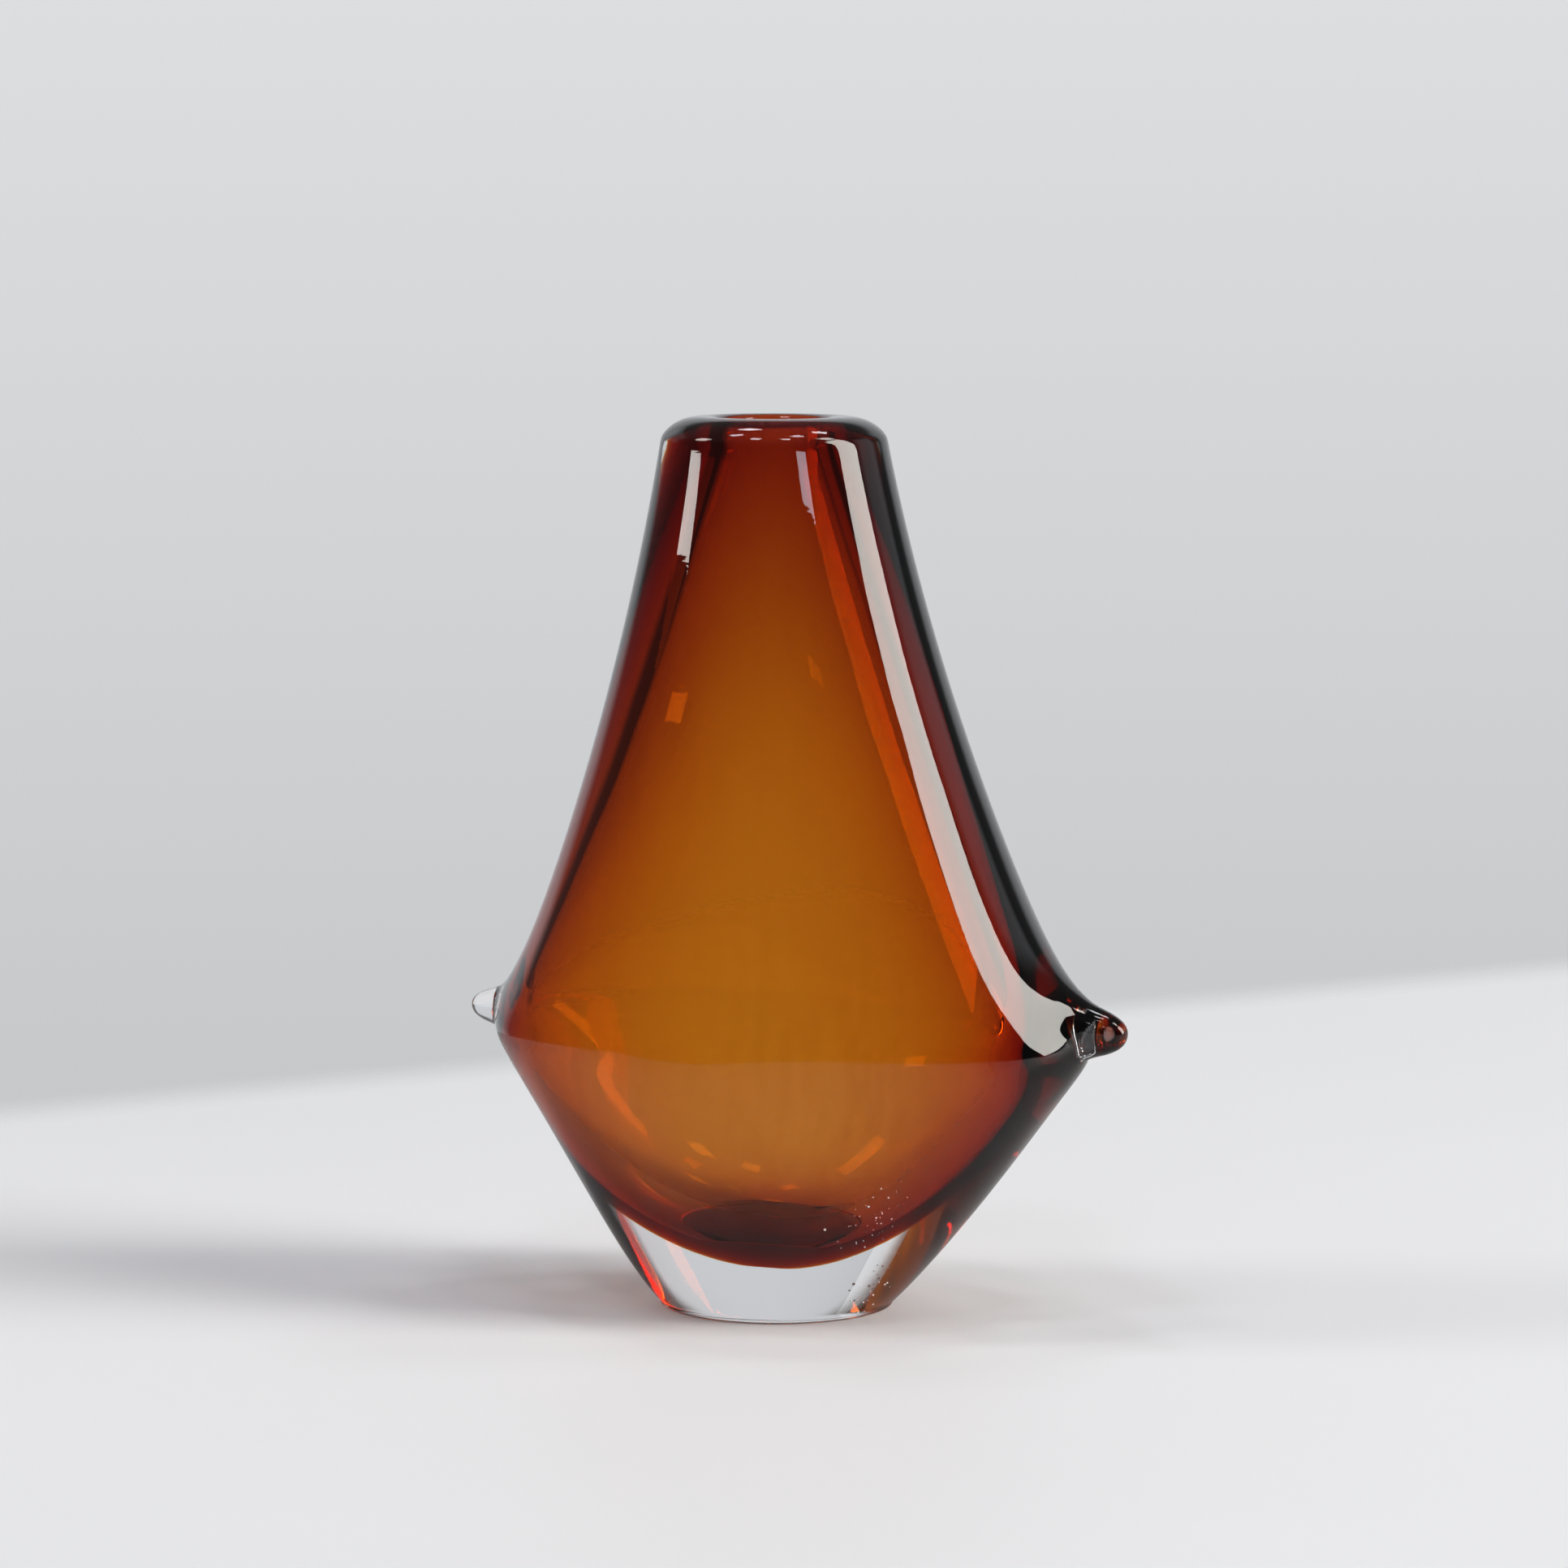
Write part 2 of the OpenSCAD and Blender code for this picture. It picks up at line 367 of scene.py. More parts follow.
def spike_rings(border, point):
    """Rings from a patch's border in over the flare to the seat, and out along the point to its tip."""
    rise = border[:, 2] - point["z"]
    turns = np.arctan2(np.where(rise < 0, rise * FLARE_UNDER, rise), border[:, 1])
    root_y = point["root_d"] / 2 * np.cos(turns)
    root_up = point["root_d"] / 2 * np.sin(turns)
    root_up = np.where(root_up < 0, root_up / FLARE_UNDER, root_up)
    rings = [border]
    for step in range(1, PATCH_RINGS + 1):
        t = 1 - (1 - step / PATCH_RINGS) ** PATCH_CROWDING
        rings.append(end_surface(mix(border[:, 1], root_y, t),
                                 mix(border[:, 2], point["z"] + root_up, t), point))
    droop = math.radians(point["droop"])
    for step in range(1, POINT_RINGS):
        t = step / POINT_RINGS
        out = point["length"] * (1 - (1 - t) ** POINT_BLUNT)
        up = root_up * (1 - t) / math.cos(droop)
        x = point["x"] + out * math.cos(droop) + up * math.sin(droop)
        z = point["z"] - out * math.sin(droop) + up * math.cos(droop)
        rings.append(np.column_stack([point["side"] * x, root_y * (1 - t), z]))
    rings = np.array(rings)
    low, high = PATCH_RINGS - ROOT_BLEND, PATCH_RINGS + ROOT_BLEND
    for _ in range(ROOT_PASSES):
        middle = (rings[low - 1:high - 1] + rings[low + 1:high + 1]) / 2
        rings[low:high] = (rings[low:high] + middle) / 2
    tip = [point["side"] * (point["x"] + point["length"] * math.cos(droop)), 0,
           point["z"] - point["length"] * math.sin(droop)]
    return rings, tip


def add_patch(build, grid, block, point):
    """Replaces a block of the grid by rings that run from its border in to the point's seat."""
    first, last, half = block
    middle = 0 if point["side"] > 0 else SIDES // 2
    columns = [(middle + i) % SIDES for i in range(-half, half + 1)]
    lower = [grid[first][c] for c in columns]
    right = [grid[k][columns[-1]] for k in range(first + 1, last)]
    upper = [grid[last][c] for c in reversed(columns)]
    left = [grid[k][columns[0]] for k in range(last - 1, first, -1)]
    outer = np.array(lower + right + upper + left)
    rings, tip = spike_rings(np.concatenate(build.points)[outer], point)
    for places in rings[1:PATCH_RINGS + 1]:
        inner = build.add(places)
        build.bridge(outer, inner)
        outer = inner
    apex = build.add([rings[PATCH_RINGS].mean(axis=0)])[0]
    build.close(outer, apex, SEAT_SLOT)
    return rings[PATCH_RINGS:], tip


SEED_CHANCE = 11
# Seeds lie no lower than this
SEED_FLOOR = 1.6
# Clusters of seeds: how many, where round the body in degrees, at what height, and their scatter in both
CLEAR_SEEDS = ((24, -42, 4, 26.5, 3.2), (16, -31, 4, 10, 2.6))
CLEAR_SEED_RADIUS = (0.16, 0.4)
CLEAR_SEED_DEPTH = (1.0, 2.6)
# White seeds, set in the skin
WHITE_SEEDS = ((32, -49, 5, 23.8, 2.8), (16, -28, 6, 5.5, 2.6))
WHITE_SEED_RADIUS = (0.1, 0.31)
WHITE_SEED_DEPTH = (0.06, 0.1)
WHITE_SLOT = 2


def add_seeds(build, clusters, radii, depths, hollow, slot):
    """Tiny seeds near the outer surface. The faces of a hollow one look inwards."""
    chance = random.Random(SEED_CHANCE)
    ball = bmesh.new()
    bmesh.ops.create_icosphere(ball, subdivisions=2, radius=1)
    points = np.array([vert.co[:] for vert in ball.verts])
    step = -1 if hollow else 1
    faces = [[vert.index for vert in face.verts][::step] for face in ball.faces]
    ball.free()
    for count, angle, angle_scatter, height, height_scatter in clusters:
        for _ in range(count):
            z = max(chance.gauss(height, height_scatter), SEED_FLOOR)
            turn = math.radians(chance.gauss(angle, angle_scatter))
            outer = body_ring(z, np.array([turn]))[0]
            shrink = 1 - chance.uniform(*depths) / math.hypot(outer[0], outer[1])
            radius = mix(*radii, chance.random() ** 2)
            corners = build.add(points * radius + outer * [shrink, shrink, 1])
            for face in faces:
                build.face(corners[face], slot)


def casing_mesh(materials):
    """The clear glass: its outer surface, the lip, the wall of the hollow and the ground foot."""
    build = Builder()
    angles = side_angles(SIDES)
    heights = ring_heights(FOOT_EDGE, LIP_Z, RINGS_BELOW, RINGS_ABOVE)
    grid = [build.add(body_ring(z, angles)) for z in heights]
    blocks = {1: patch_block(heights, LONG_POINT), -1: patch_block(heights, SHORT_POINT)}

    def in_patch(k):
        def skip(i):
            for side, (first, last, half) in blocks.items():
                middle = 0 if side > 0 else SIDES // 2
                away = (i - middle + SIDES // 2) % SIDES - SIDES // 2
                if first <= k < last and -half <= away < half:
                    return True
            return False
        return skip

    for k in range(len(heights) - 1):
        build.bridge(grid[k], grid[k + 1], skip=in_patch(k))
    long_spike = add_patch(build, grid, blocks[1], LONG_POINT)
    short_spike = add_patch(build, grid, blocks[-1], SHORT_POINT)

    ring = grid[-1]
    for over in np.linspace(0, math.pi, LIP_RINGS)[1:]:
        upper = build.add(lip_ring(over, angles))
        build.bridge(ring, upper)
        ring = upper
    for z in lining_heights(1, MOUTH_Z)[-2::-1]:
        lower = build.add(lining_ring(z, 1, angles))
        build.bridge(ring, lower)
        ring = lower
    close_floor(build, ring, angles, 1)

    foot = build.points[0]
    ring = grid[0]
    centre = np.array([body_x(0), 0.0])
    for turn in np.linspace(0, math.pi / 2, FOOT_EDGE_RINGS)[1:]:
        inwards = FOOT_EDGE * (1 - math.cos(turn))
        shrink = 1 - inwards / (FOOT_D / 2)
        edge = np.column_stack([centre + (foot[:, :2] - centre) * shrink,
                                np.full(SIDES, FOOT_EDGE * (1 - math.sin(turn)))])
        lower = build.add(edge)
        build.bridge(lower, ring)
        ring = lower
    for share in FOOT_SHARES:
        rise = FOOT_HOLLOW * (1 - share ** 2)
        floor = np.column_stack([centre + (edge[:, :2] - centre) * share, np.full(SIDES, rise)])
        lower = build.add(floor)
        build.bridge(lower, ring)
        ring = lower
    apex = build.add([[centre[0], 0, FOOT_HOLLOW]])[0]
    build.close(ring[::-1], apex)
    add_seeds(build, CLEAR_SEEDS, CLEAR_SEED_RADIUS, CLEAR_SEED_DEPTH, True, 0)
    add_seeds(build, WHITE_SEEDS, WHITE_SEED_RADIUS, WHITE_SEED_DEPTH, False, WHITE_SLOT)
    return build.make("clear_glass_casing", materials), long_spike, short_spike


def lining_heights(share, top):
    """Heights of the rings of the lining: close together near its floor and near the keel."""
    z0 = lining_z0(share)
    turn = np.linspace(0, 1, LINING_BELOW + 1)
    below = mix(z0, KEEL_H, turn ** 2 * (1 + LINING_CROWDING - LINING_CROWDING * turn))
    up = np.arange(1, LINING_ABOVE + 1) / LINING_ABOVE
    return np.concatenate([below, mix(KEEL_H, top, up ** LINING_CROWDING)])


def close_floor(build, ring, angles, share_in, faces_up=True):
    """Closes a surface of the amber, from its lowest ring in to the middle of its floor."""
    z0 = lining_z0(share_in)
    half_w, half_d = lining_half_w(z0, share_in), lining_half_d(z0, share_in)
    for share in FLOOR_SHARES:
        inner = build.add(oval_ring(half_w * share, half_d * share, lining_x(z0), z0, angles))
        build.bridge(*((ring, inner) if faces_up else (inner, ring)))
        ring = inner
    apex = build.add([[lining_x(z0), 0, z0]])[0]
    build.close(ring if faces_up else ring[::-1], apex)


def lining_mesh(materials):
    """The amber glass, a hair inside the clear glass on the hollow's side."""
    build = Builder()
    angles = side_angles(LINING_SIDES)
    outside = [lining_ring(z, 0, angles) for z in lining_heights(0, LIP_Z)]
    lip = [lip_ring(over, angles, SKIN) for over in np.linspace(SEAM_OVER, math.pi, LINING_LIP_RINGS)]
    turned = [outside[-1] + (lip[0] - outside[-1]) * [t ** TURN_CROWDING, t ** TURN_CROWDING, t]
              for t in np.linspace(0, 1, LINING_TURN_RINGS)[1:-1]]
    share = 1 - SKIN / LINING_WALL
    inside = [lining_ring(z, share, angles) for z in lining_heights(share, MOUTH_Z)]
    rings = outside + turned + lip + inside[-2::-1]
    grid = [build.add(r) for r in rings]
    for low, high in zip(grid, grid[1:]):
        build.bridge(low, high)
    close_floor(build, grid[-1], angles, share)
    close_floor(build, grid[0], angles, 0, faces_up=False)
    return build.make("amber_glass_lining", materials)


def point_mesh(name, spike, materials):
    """A drop drawn out from the seat to a blunt tip. Its root ring is the casing's own seat ring."""
    rings, tip = spike
    build = Builder()
    ring = build.add(rings[0])
    apex = build.add([rings[0].mean(axis=0)])[0]
    build.close(ring[::-1], apex, SEAT_SLOT)
    for places in rings[1:]:
        upper = build.add(places)
        build.bridge(ring, upper)
        ring = upper
    build.close(ring, build.add([tip])[0])
    return build.make(name, materials)


# ---------------------------------------------------------------- materials
class Nodes:
    """A short way to write a node tree."""

    def __init__(self, tree):
        self.tree = tree

    def add(self, kind, **values):
        node = self.tree.nodes.new(kind)
        for key, value in values.items():
            socket = next((s for s in node.inputs if s.name == key.replace("_", " ")), None)
            if socket is not None:
                socket.default_value = value
            else:
                setattr(node, key, value)
        return node

    def link(self, source, target):
        self.tree.links.new(source, target)


def new_material(name):
    material = bpy.data.materials.new(name)
    material.use_nodes = True
    material.node_tree.nodes.clear()
    return material, Nodes(material.node_tree)


GLASS_IOR = 1.5
# Hand-made waviness of the surface: size of the swells and of the finer ripples in metres, and their depth
SWELL = 0.02
SWELL_DEPTH = 0.00016
RIPPLE = 0.0022
RIPPLE_DEPTH = 0.000006
# Size in metres of the drift of colour and of the smudges in the clear glass, and how rough a smudge is
CLEAR_DRIFT = 0.03
CLEAR_TINTS = ((0.968, 0.98, 0.985), (0.982, 0.988, 0.992))
SMUDGE = 0.012
SMUDGE_FROM = 0.56
SMUDGE_FULL = 0.72
SMUDGE_ROUGHNESS = 0.022
# The foot is ground, so it is rougher up to this height in metres
GROUND_H = 0.0006
GROUND_ROUGHNESS = 0.16


def noise(nodes, coords, size, stretch=(1, 1, 1), detail=2.0):
    """Noise with features of a size in metres, stretched along the axes."""
    mapping = nodes.add("ShaderNodeMapping", Scale=[1 / (size * along) for along in stretch])
    texture = nodes.add("ShaderNodeTexNoise", Scale=1.0, Detail=detail)
    nodes.link(coords.outputs["Object"], mapping.inputs["Vector"])
    nodes.link(mapping.outputs["Vector"], texture.inputs["Vector"])
    return texture.outputs["Fac"]


def spread(nodes, value, low, high, to_low, to_high, interpolation="SMOOTHSTEP"):
    """A value brought from one range to another."""
    ranged = nodes.add("ShaderNodeMapRange", interpolation_type=interpolation)
    ranged.inputs["From Min"].default_value = low
    ranged.inputs["From Max"].default_value = high
    ranged.inputs["To Min"].default_value = to_low
    ranged.inputs["To Max"].default_value = to_high
    nodes.link(value, ranged.inputs["Value"])
    return ranged.outputs["Result"]


# Places of the factor, the two colours and the result among the sockets of a Mix node
FACTOR, COLOUR_A, COLOUR_B, COLOUR_OUT = 0, 6, 7, 2


def tint(nodes, share, one, other):
    """A colour between two others, by a share that varies from place to place."""
    mixed = nodes.add("ShaderNodeMix", data_type="RGBA")
    mixed.inputs[COLOUR_A].default_value = (*one, 1)
    mixed.inputs[COLOUR_B].default_value = (*other, 1)
    nodes.link(share, mixed.inputs[FACTOR])
    return mixed.outputs[COLOUR_OUT]


def wavy_normal(nodes, coords):
    """Broad swells and fine ripples left by the hot shaping."""
    swell = nodes.add("ShaderNodeBump", Strength=1.0, Distance=SWELL_DEPTH)
    nodes.link(noise(nodes, coords, SWELL, (1, 1, 1.6), 1.0), swell.inputs["Height"])
    ripple = nodes.add("ShaderNodeBump", Strength=1.0, Distance=RIPPLE_DEPTH)
    nodes.link(noise(nodes, coords, RIPPLE, (3, 3, 1)), ripple.inputs["Height"])
    nodes.link(swell.outputs["Normal"], ripple.inputs["Normal"])
    return ripple.outputs["Normal"]


def clear_glass():
    """Thick clear glass: wavy, faintly smudged, with a softly ground foot and a hint of colour drift."""
    material, nodes = new_material("clear_glass")
    out = nodes.add("ShaderNodeOutputMaterial")
    shader = nodes.add("ShaderNodeBsdfPrincipled", IOR=GLASS_IOR, Transmission_Weight=1.0)
    coords = nodes.add("ShaderNodeTexCoord")
    split = nodes.add("ShaderNodeSeparateXYZ")
    nodes.link(coords.outputs["Object"], split.inputs[0])
    drift = tint(nodes, noise(nodes, coords, CLEAR_DRIFT, (1, 1, 2)), *CLEAR_TINTS)
    nodes.link(drift, shader.inputs["Base Color"])
    smudges = spread(nodes, noise(nodes, coords, SMUDGE, (1, 1, 1.5), 4.0), SMUDGE_FROM, SMUDGE_FULL,
                     0.0, SMUDGE_ROUGHNESS)
    ground = spread(nodes, split.outputs["Z"], 0.0, GROUND_H, GROUND_ROUGHNESS, 0.0)
    roughness = nodes.add("ShaderNodeMath", operation="ADD")
    nodes.link(smudges, roughness.inputs[0])
    nodes.link(ground, roughness.inputs[1])
    nodes.link(roughness.outputs[0], shader.inputs["Roughness"])
    nodes.link(wavy_normal(nodes, coords), shader.inputs["Normal"])
    nodes.link(shader.outputs["BSDF"], out.inputs["Surface"])
    return material


# Size in metres of the cords in a fused seam, and its tints
SEAM_CORD = 0.002
SEAM_TINTS = ((0.93, 0.94, 0.96), (1, 1, 1))


def fused_seam():
    """Where two pieces of the same glass are fused: light passes almost straight on, past faint cords."""
    material, nodes = new_material("fused_seam")
    out = nodes.add("ShaderNodeOutputMaterial")
    shader = nodes.add("ShaderNodeBsdfPrincipled", Roughness=0.0, IOR=1.0, Transmission_Weight=1.0)
    coords = nodes.add("ShaderNodeTexCoord")
    cords = tint(nodes, noise(nodes, coords, SEAM_CORD, (4, 1, 1), 3.0), *SEAM_TINTS)
    nodes.link(cords, shader.inputs["Base Color"])
    nodes.link(shader.outputs["BSDF"], out.inputs["Surface"])
    return material


# Size in metres of the unevenness of a white seed, its tints and its roughness
FROST = 0.0004
FROST_TINTS = ((0.6, 0.59, 0.58), (1, 1, 1))
FROST_ROUGHNESS = 0.3


def white_seed():
    """A seed in the skin of the glass: frosted white, unevenly."""
    material, nodes = new_material("white_seed")
    out = nodes.add("ShaderNodeOutputMaterial")
    shader = nodes.add("ShaderNodeBsdfPrincipled", Roughness=FROST_ROUGHNESS)
    coords = nodes.add("ShaderNodeTexCoord")
    frost = tint(nodes, noise(nodes, coords, FROST, detail=1.0), *FROST_TINTS)
    nodes.link(frost, shader.inputs["Base Color"])
    nodes.link(shader.outputs["BSDF"], out.inputs["Surface"])
    return material


# Colour that the amber glass lets through, and how strongly it takes the rest, per metre
AMBER = (0.896, 0.661, 0.0, 1)
AMBER_STRENGTH = 1500
# Size in metres of the cords in the amber glass and of their drift, and the tints of its surface
AMBER_CORD = 0.004
AMBER_DRIFT = 0.035
AMBER_TINTS = ((1, 1, 1), (0.95, 0.91, 0.8))


def amber_glass():
    """Amber glass inside clear glass of the same index: it takes light but doesn't bend it."""
    material, nodes = new_material("amber_glass")
    out = nodes.add("ShaderNodeOutputMaterial")
    shader = nodes.add("ShaderNodeBsdfPrincipled", Roughness=0.0, IOR=1.0, Transmission_Weight=1.0)
    volume = nodes.add("ShaderNodeVolumeAbsorption", Color=AMBER, Density=AMBER_STRENGTH)
    coords = nodes.add("ShaderNodeTexCoord")
    cords = spread(nodes, noise(nodes, coords, AMBER_CORD, (1, 1, 14), 3.0), 0.35, 0.7, 0.0, 1.0)
    drift = spread(nodes, noise(nodes, coords, AMBER_DRIFT, (1, 1, 2)), 0.3, 0.7, 0.0, 1.0)
    both = nodes.add("ShaderNodeMath", operation="MULTIPLY")
    nodes.link(cords, both.inputs[0])
    nodes.link(drift, both.inputs[1])
    nodes.link(tint(nodes, both.outputs[0], *AMBER_TINTS), shader.inputs["Base Color"])
    nodes.link(shader.outputs["BSDF"], out.inputs["Surface"])
    nodes.link(volume.outputs["Volume"], out.inputs["Volume"])
    return material


# ---------------------------------------------------------------- stage, light and camera
# The view: turned round the vase and down, aimed at a place above the origin and a little aside of it
VIEW_AZIMUTH = math.radians(21.9)
VIEW_PITCH = math.radians(6.2)
VIEW_DISTANCE = 1.2723
VIEW_ASIDE = 0.0017
VIEW_HEIGHT = 0.1177
SENSOR = 36
LENS = 130.4
VIEW_NEAR = 0.05


def compass(azimuth, elevation):
    """A direction from the vase: azimuth in degrees round from the view's far side towards its right."""
    a = VIEW_AZIMUTH - math.radians(azimuth)
    e = math.radians(elevation)
    return Vector((-math.sin(a) * math.cos(e), math.cos(a) * math.cos(e), math.sin(e)))


def height_at(elevation):
    """Z of a direction at an elevation in degrees."""
    return math.sin(math.radians(elevation))


def add_camera():
    aside = Vector((math.cos(VIEW_AZIMUTH), math.sin(VIEW_AZIMUTH), 0))
    level = compass(0, 0)
    forward = level * math.cos(VIEW_PITCH) - Vector((0, 0, math.sin(VIEW_PITCH)))
    target = Vector((0, 0, VIEW_HEIGHT)) + aside * VIEW_ASIDE
    data = bpy.data.cameras.new("camera")
    data.lens = LENS
    data.sensor_width = SENSOR
    data.clip_start = VIEW_NEAR
    camera = bpy.data.objects.new("camera", data)
    camera.location = target - forward * VIEW_DISTANCE
    camera.rotation_euler = forward.to_track_quat("-Z", "Y").to_euler()
    bpy.context.scene.collection.objects.link(camera)
    bpy.context.scene.camera = camera


# Reach of the table top in front, to each side and behind, the skew of its far edge, and its fade there
TABLE_FRONT = 0.9
TABLE_SIDE = 1.6
TABLE_BACK = 0.416
TABLE_SKEW = math.radians(31.5)
TABLE_FADE = 0.05
# The top lies this much under the foot, so that the two don't coincide
TABLE_GAP = 0.00005
TABLE_ROUGHNESS = 0.55
TABLE_SHINE = 0.3
# Size in metres of the drift of the table's colour, and its tints
TABLE_DRIFT = 0.15
TABLE_TINTS = ((0.825, 0.84, 0.86), (0.845, 0.86, 0.88))
# Painted shade in the glass's reflections: rays that the glass mirrors see the table in this darker colour
TABLE_REFLECTION_PAINTED_SHADE = (0.45, 0.45, 0.45)


def table_material():
    """A matt pale table top that fades out softly at its far edge, with painted shade where the glass mirrors
    it: reflected rays see it darker.
    """
    material, nodes = new_material("floor")
    out = nodes.add("ShaderNodeOutputMaterial")
    shader = nodes.add("ShaderNodeBsdfPrincipled", Roughness=TABLE_ROUGHNESS)
    shader.inputs["Specular IOR Level"].default_value = TABLE_SHINE
    coords = nodes.add("ShaderNodeTexCoord")
    path = nodes.add("ShaderNodeLightPath")
    mirrored = nodes.add("ShaderNodeMath", operation="SUBTRACT", use_clamp=True)
    nodes.link(path.outputs["Is Glossy Ray"], mirrored.inputs[0])
    nodes.link(path.outputs["Is Transmission Ray"], mirrored.inputs[1])
    top = tint(nodes, noise(nodes, coords, TABLE_DRIFT, detail=3.0), *TABLE_TINTS)
    # Painted shade: rays reflected off the glass see the table darker than the camera does, which darkens its
    # reflection in the vase
    painted_reflection_shade = nodes.add("ShaderNodeMix", data_type="RGBA")
    painted_reflection_shade.inputs[COLOUR_B].default_value = (*TABLE_REFLECTION_PAINTED_SHADE, 1)
    nodes.link(mirrored.outputs[0], painted_reflection_shade.inputs[FACTOR])
    nodes.link(top, painted_reflection_shade.inputs[COLOUR_A])
    nodes.link(painted_reflection_shade.outputs[COLOUR_OUT], shader.inputs["Base Color"])
    split = nodes.add("ShaderNodeSeparateXYZ")
    gone = nodes.add("ShaderNodeBsdfTransparent")
    both = nodes.add("ShaderNodeMixShader")
    nodes.link(coords.outputs["Object"], split.inputs[0])
    nodes.link(spread(nodes, split.outputs["Y"], -TABLE_FADE, 0.0, 0.0, 1.0), both.inputs[0])
    nodes.link(shader.outputs["BSDF"], both.inputs[1])
    nodes.link(gone.outputs[0], both.inputs[2])
    nodes.link(both.outputs[0], out.inputs["Surface"])
    return material


def add_floor():
    """A plain pale table top whose far edge runs a little askew behind the vase."""
    edge = compass(0, 0) * TABLE_BACK
    front = -TABLE_FRONT - TABLE_BACK
    mesh = bpy.data.meshes.new("floor")
    mesh.from_pydata([(-TABLE_SIDE, front, 0), (TABLE_SIDE, front, 0),
                      (TABLE_SIDE, TABLE_FADE, 0), (-TABLE_SIDE, TABLE_FADE, 0)], [], [(0, 1, 2, 3)])
    mesh.materials.append(table_material())
    floor = bpy.data.objects.new("floor", mesh)
    floor.location = edge - Vector((0, 0, TABLE_GAP))
    floor.rotation_euler = (0, 0, VIEW_AZIMUTH + TABLE_SKEW)
    bpy.context.scene.collection.objects.link(floor)


# Height at which the lights are aimed, and how far away they are unless said otherwise
PANEL_AIM = 0.1
PANEL_FAR = 4.0


def add_panel(name, azimuth, low, high, wide, radiance, colour=(1, 1, 1), roll=0, distance=PANEL_FAR):
    """A rectangular light that faces the vase. Its edges are given as angles seen from there."""
    middle = math.radians(low + high) / 2
    tall = 2 * distance * math.tan(math.radians(high - low) / 2)
    across = 2 * distance * math.tan(math.radians(wide) / 2)
    data = bpy.data.lights.new(name, "AREA")
    data.shape = "RECTANGLE"
    data.size = across
    data.size_y = tall
    data.color = colour
    data.energy = radiance * math.pi * across * tall
    panel = bpy.data.objects.new(name, data)
    away = compass(azimuth, math.degrees(middle))
    panel.location = Vector((0, 0, PANEL_AIM)) + away * distance
    turn = away.to_track_quat("Z", "Y") @ Quaternion((0, 0, 1), math.radians(roll))
    panel.rotation_euler = turn.to_euler()
    panel.visible_camera = False
    bpy.context.scene.collection.objects.link(panel)


# Brightness of the wall that the camera sees, low down and high up, and the elevations between them
WALL_LOW = 0.58
WALL_LIGHT = 0.735
WALL_SHADE = (-9, 2)
# Brightness of the room by azimuth round the vase, from behind it, towards the right when above 0
ROOM = ((-180, 0.08), (-120, 0.08), (-90, 0.08), (-62, 0.09), (-46, 0.12), (-36, 0.70), (0, 0.76), (38, 0.76),
        (46, 0.12), (57, 0.12), (63, 0.65), (82, 0.65), (90, 0.10), (120, 0.08), (180, 0.08))
# The room is this much dimmer above the second elevation than below the first
ROOM_UPPER = 0.83
ROOM_FADE = (-9, 1)
# Elevations between which the pale wall gives way to the dim ceiling
WALL_TOP = (24, 34)
CEILING = (0.12, 0.12, 0.12)
# Tints of the room that the glass sees and of the wall that the camera sees
ROOM_TINT = (0.98, 1, 1.04)
WALL_TINT = (0.98, 1, 1.02, 1)


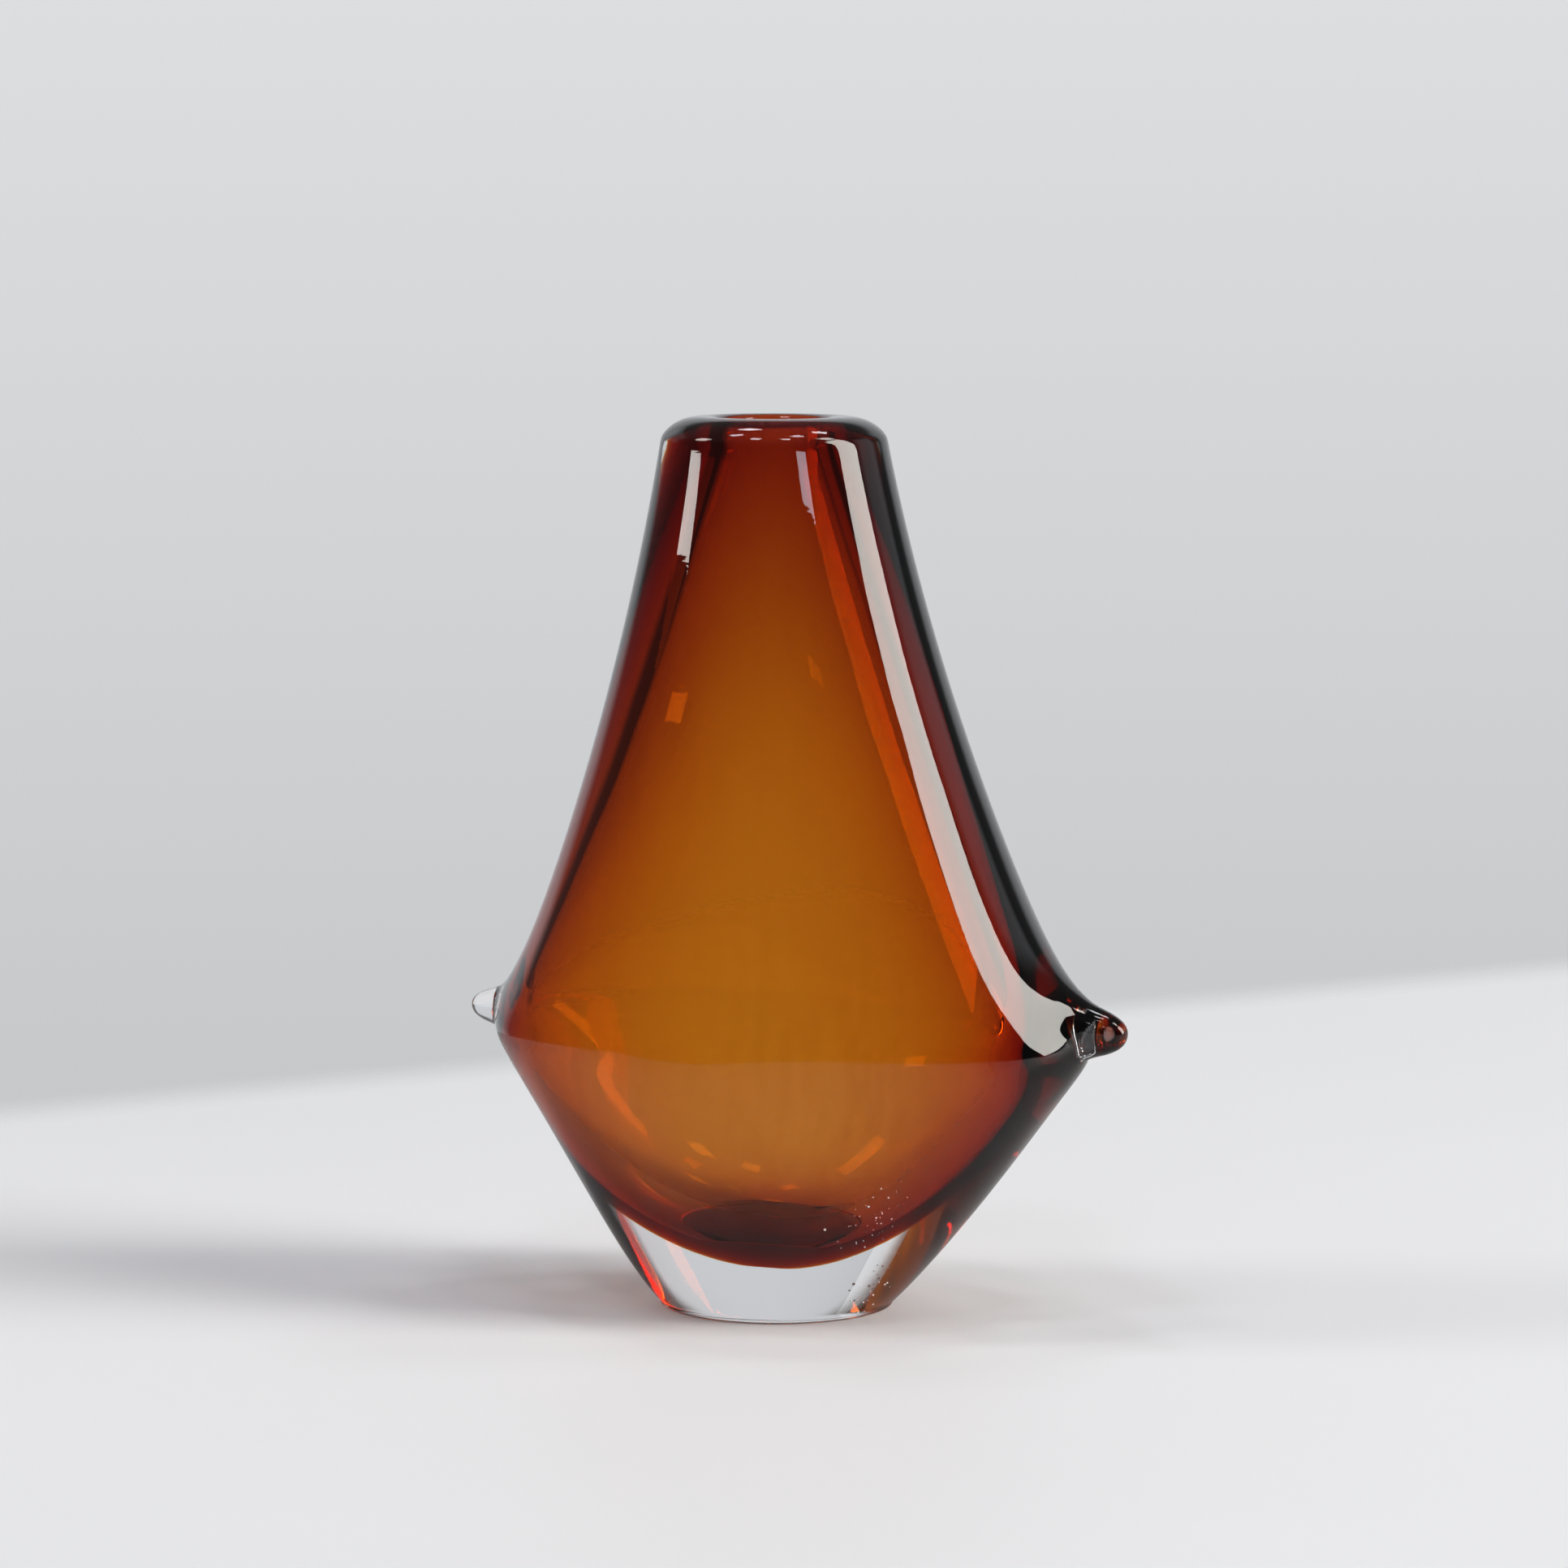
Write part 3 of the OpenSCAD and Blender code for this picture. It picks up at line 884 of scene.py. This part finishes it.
def add_world():
    """A plain wall for the camera. All other rays see a room that varies by azimuth and elevation."""
    world = bpy.data.worlds.new("world")
    bpy.context.scene.world = world
    world.use_nodes = True
    world.node_tree.nodes.clear()
    nodes = Nodes(world.node_tree)
    out = nodes.add("ShaderNodeOutputWorld")
    coords = nodes.add("ShaderNodeTexCoord")
    turned = nodes.add("ShaderNodeVectorRotate", rotation_type="Z_AXIS", Angle=-VIEW_AZIMUTH)
    split = nodes.add("ShaderNodeSeparateXYZ")
    round_it = nodes.add("ShaderNodeMath", operation="ARCTAN2")
    share = nodes.add("ShaderNodeMath", operation="MULTIPLY_ADD")
    share.inputs[1].default_value = 0.5 / math.pi
    share.inputs[2].default_value = 0.5
    ramp = nodes.add("ShaderNodeValToRGB")
    stops = ramp.color_ramp.elements
    for i, (azimuth, light) in enumerate(ROOM):
        place = (azimuth + 180) / 360
        stop = stops[i] if i < 2 else stops.new(place)
        stop.position = place
        stop.color = (*(light * part for part in ROOM_TINT), 1)
    nodes.link(coords.outputs["Generated"], turned.inputs["Vector"])
    nodes.link(turned.outputs[0], split.inputs[0])
    nodes.link(split.outputs["X"], round_it.inputs[0])
    nodes.link(split.outputs["Y"], round_it.inputs[1])
    nodes.link(round_it.outputs[0], share.inputs[0])
    nodes.link(share.outputs[0], ramp.inputs[0])
    upper = spread(nodes, split.outputs["Z"], height_at(ROOM_FADE[0]), height_at(ROOM_FADE[1]),
                   1.0, ROOM_UPPER)
    around = nodes.add("ShaderNodeMix", data_type="RGBA", blend_type="MULTIPLY")
    around.inputs[FACTOR].default_value = 1.0
    nodes.link(ramp.outputs["Color"], around.inputs[COLOUR_A])
    nodes.link(upper, around.inputs[COLOUR_B])
    high = spread(nodes, split.outputs["Z"], height_at(WALL_TOP[0]), height_at(WALL_TOP[1]), 0.0, 1.0)
    room = nodes.add("ShaderNodeMix", data_type="RGBA")
    room.inputs[COLOUR_B].default_value = (*CEILING, 1)
    nodes.link(high, room.inputs[FACTOR])
    nodes.link(around.outputs[COLOUR_OUT], room.inputs[COLOUR_A])
    lit = nodes.add("ShaderNodeBackground", Strength=1.0)
    nodes.link(room.outputs[COLOUR_OUT], lit.inputs["Color"])
    wall = spread(nodes, split.outputs["Z"], height_at(WALL_SHADE[0]), height_at(WALL_SHADE[1]),
                  WALL_LOW, WALL_LIGHT, "LINEAR")
    seen = nodes.add("ShaderNodeBackground", Color=WALL_TINT)
    nodes.link(wall, seen.inputs["Strength"])
    path = nodes.add("ShaderNodeLightPath")
    both = nodes.add("ShaderNodeMixShader")
    nodes.link(path.outputs["Is Camera Ray"], both.inputs[0])
    nodes.link(lit.outputs[0], both.inputs[1])
    nodes.link(seen.outputs[0], both.inputs[2])
    nodes.link(both.outputs[0], out.inputs["Surface"])


# Light crosses many surfaces in the thick glass
GLASS_BOUNCES = 24
GLOSSY_BOUNCES = 12
CLEAR_BOUNCES = 16
GLOSSY_BLUR = 0.3


def set_look():
    scene = bpy.context.scene
    scene.view_settings.view_transform = "Standard"
    scene.cycles.max_bounces = GLASS_BOUNCES
    scene.cycles.transmission_bounces = GLASS_BOUNCES
    scene.cycles.glossy_bounces = GLOSSY_BOUNCES
    scene.cycles.transparent_max_bounces = CLEAR_BOUNCES
    scene.cycles.blur_glossy = GLOSSY_BLUR


# Colours of the lights
WARM_RIGHT = (1, 0.97, 0.91)
WARM_LEFT = (1, 0.97, 0.92)
COOL_ROW = (0.88, 0.88, 1)
COOL_LAMP = (0.93, 0.93, 1)
# Azimuths and elevations of the lamps in the ceiling, half their height, their width and brightness
CEILING_LAMPS = ((-150, 62), (-95, 68), (-30, 70), (60, 66), (165, 62), (125, 74))
LAMP_HALF = 4
LAMP_WIDE = 7
LAMP_LIGHT = 11


# ---------------------------------------------------------------- the scene
add_camera()
set_look()
add_world()
add_floor()
# Each light: azimuth, elevation of its lower and upper edge, width in degrees, brightness and colour
add_panel("window_right", 104, 0, 42, 22, 10.5, WARM_RIGHT, roll=20)
add_panel("window_right_top", 108, 46, 58, 12, 10, WARM_RIGHT)
add_panel("window_left", -97, 13.8, 16.0, 13, 9, WARM_LEFT, distance=0.5)
add_panel("window_left_top", -90, 30, 44, 14, 9, WARM_LEFT)
add_panel("fill_card", -45, 12, 34, 34, 0.18)
add_panel("lamp_row", 157, 25.6, 27.2, 8, 6, COOL_ROW, distance=0.36)
for lamp, (azimuth, elevation) in enumerate(CEILING_LAMPS):
    add_panel(f"ceiling_lamp_{lamp}", azimuth, elevation - LAMP_HALF, elevation + LAMP_HALF, LAMP_WIDE,
              LAMP_LIGHT, COOL_LAMP)

clear = clear_glass()
seam = fused_seam()
amber = amber_glass()
casing, long_spike, short_spike = casing_mesh([clear, seam, white_seed()])
lining = lining_mesh([amber])
long_point = point_mesh("long_drawn_point", long_spike, [clear, seam])
short_point = point_mesh("short_drawn_point", short_spike, [clear, seam])

for piece, node, slot in ((casing, "clear_casing", "clear_glass"),
                          (lining, "amber_lining", "amber_glass"),
                          (long_point, "long_point", "clear_glass"),
                          (short_point, "short_point", "clear_glass")):
    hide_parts(node)
    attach(piece, "root")
